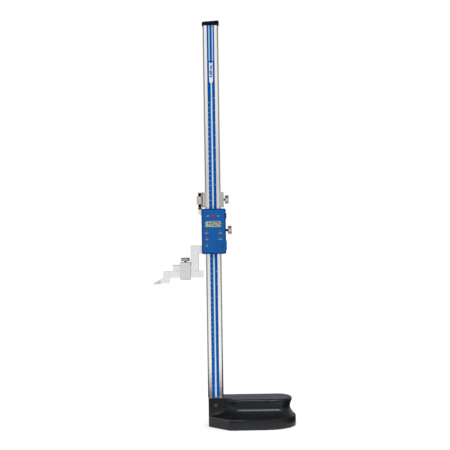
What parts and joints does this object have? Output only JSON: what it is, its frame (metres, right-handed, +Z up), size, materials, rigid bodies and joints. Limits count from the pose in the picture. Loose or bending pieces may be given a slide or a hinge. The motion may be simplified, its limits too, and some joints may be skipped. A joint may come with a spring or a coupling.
{
  "type": "height gauge",
  "caption": "Digital height gauge: beam on a hand-grip base, slider with steel jaw, display, fine adjustment, and a clamped carbide scriber.",
  "frame": {"origin": "on the base's resting plane, under the middle of the beam", "axes": "+Z up along the beam, +X to the tail of the base, the scriber is towards -X, the scale faces -Y"},
  "size_m": [0.2885, 0.1, 0.8305],
  "materials": {
    "black_paint": "satin black paint over cast iron",
    "ground_steel": "fine-ground stainless steel",
    "satin_steel": "satin steel",
    "knurled_steel": "plated, knurled",
    "black_steel": "black oxide",
    "carbide": "lapped carbide",
    "brass": "turned brass",
    "scale_print": "blue printed scale",
    "black_plastic": "moulded",
    "blue_plastic": "blue moulded shell",
    "panel_film": "printed film",
    "back_plate_alloy": "stamped",
    "circuit_laminate": "green laminate",
    "switch_plastic": "moulded",
    "lcd": "reflective display glass",
    "contact_rubber": "striped contact rubber",
    "window": "clear window",
    "cell": "coin cell",
    "contact_metal": "spring strip",
    "red_key": "red key",
    "tan_key": "tan key"
  },
  "bodies": {
    "base": {"base_casting": "black_paint", "beam": "ground_steel", "scale_strip": "scale_print", "column_screws": "black_steel", "beam_set_screw": "black_steel", "beam_cap": "black_plastic", "cap_screws": "black_steel"},
    "slider": {"slider_frame": "ground_steel", "slider_gib": "ground_steel", "gib_screws": "black_steel", "threaded_rod": "black_steel", "rod_collar": "brass", "reading_head": "black_plastic", "display_back_plate": "back_plate_alloy", "circuit_board": "circuit_laminate", "key_switches": "switch_plastic", "lcd_panel": "lcd", "lcd_connectors": "contact_rubber", "lcd_window": "window", "display_case": "blue_plastic", "case_screws": "black_steel", "face_panel": "panel_film", "battery": "cell", "battery_contacts": "contact_metal", "data_port": "black_plastic"},
    "slider_lock": {"slider_lock_screw": "knurled_steel"},
    "fine_carriage": {"fine_carriage": "satin_steel", "fork_screws": "black_steel", "carriage_gib": "ground_steel"},
    "adjusting_nut": {"adjusting_nut": "knurled_steel"},
    "carriage_lock": {"carriage_lock_screw": "knurled_steel"},
    "scriber": {"scriber_bar": "ground_steel", "scriber_tip": "carbide"},
    "scriber_clamp": {"scriber_clamp": "satin_steel"},
    "clamp_lock": {"clamp_screw": "knurled_steel"},
    "battery_cover": {"battery_cover": "blue_plastic"},
    "data_port_cover": {"data_port_cover": "blue_plastic"},
    "power_key": {"power_key": "red_key"},
    "key_1": {"key_1": "tan_key"},
    "key_2": {"key_2": "tan_key"},
    "key_3": {"key_3": "tan_key"},
    "key_4": {"key_4": "tan_key"},
    "key_5": {"key_5": "tan_key"}
  },
  "joints": [
    {"name": "slider_travel", "type": "slide", "parent": "base", "child": "slider", "axis": [0, 0, 1], "range_m": [-0.2915, 0.3085]},
    {"name": "slider_lock_turn", "type": "hinge", "parent": "slider", "child": "slider_lock", "pos_m": [0.03, 0, 0.4006], "axis": [1, 0, 0], "range_deg": [0, 360]},
    {"name": "adjusting_nut_turn", "type": "hinge", "parent": "fine_carriage", "child": "adjusting_nut", "pos_m": [-0.0268, 0, 0.4625], "axis": [0, 0, 1], "range_deg": [-226, 3601]},
    {"name": "fine_adjustment", "type": "slide", "parent": "slider", "child": "fine_carriage", "axis": [0, 0, 1], "range_m": [-0.0005, 0.008]},
    {"name": "carriage_lock_turn", "type": "hinge", "parent": "fine_carriage", "child": "carriage_lock", "pos_m": [0.0247, 0, 0.46325], "axis": [1, 0, 0], "range_deg": [0, 360]},
    {"name": "scriber_slide", "type": "slide", "parent": "slider", "child": "scriber", "axis": [-1, 0, 0], "range_m": [-0.003, 0.025]},
    {"name": "clamp_slide", "type": "slide", "parent": "slider", "child": "scriber_clamp", "axis": [-1, 0, 0], "range_m": [0, 0.014]},
    {"name": "clamp_screw_turn", "type": "hinge", "parent": "scriber_clamp", "child": "clamp_lock", "pos_m": [-0.0584, 0, 0.338], "axis": [0, 0, 1], "range_deg": [0, 360]},
    {"name": "battery_cover_slide", "type": "slide", "parent": "slider", "child": "battery_cover", "axis": [1, 0, 0], "range_m": [0, 0.022]},
    {"name": "data_port_cover_slide", "type": "slide", "parent": "slider", "child": "data_port_cover", "axis": [1, 0, 0], "range_m": [0, 0.006]},
    {"name": "power_key_press", "type": "slide", "parent": "slider", "child": "power_key", "axis": [0, 1, 0], "range_m": [0, 0.0005], "stiffness_N_per_m": 300},
    {"name": "key_1_press", "type": "slide", "parent": "slider", "child": "key_1", "axis": [0, 1, 0], "range_m": [0, 0.0005], "stiffness_N_per_m": 300},
    {"name": "key_2_press", "type": "slide", "parent": "slider", "child": "key_2", "axis": [0, 1, 0], "range_m": [0, 0.0005], "stiffness_N_per_m": 300},
    {"name": "key_3_press", "type": "slide", "parent": "slider", "child": "key_3", "axis": [0, 1, 0], "range_m": [0, 0.0005], "stiffness_N_per_m": 300},
    {"name": "key_4_press", "type": "slide", "parent": "slider", "child": "key_4", "axis": [0, 1, 0], "range_m": [0, 0.0005], "stiffness_N_per_m": 300},
    {"name": "key_5_press", "type": "slide", "parent": "slider", "child": "key_5", "axis": [0, 1, 0], "range_m": [0, 0.0005], "stiffness_N_per_m": 300}
  ],
  "couplings": [
    {"joint": "adjusting_nut_turn", "follows": "fine_adjustment", "rad_per_m": 7854}
  ]
}
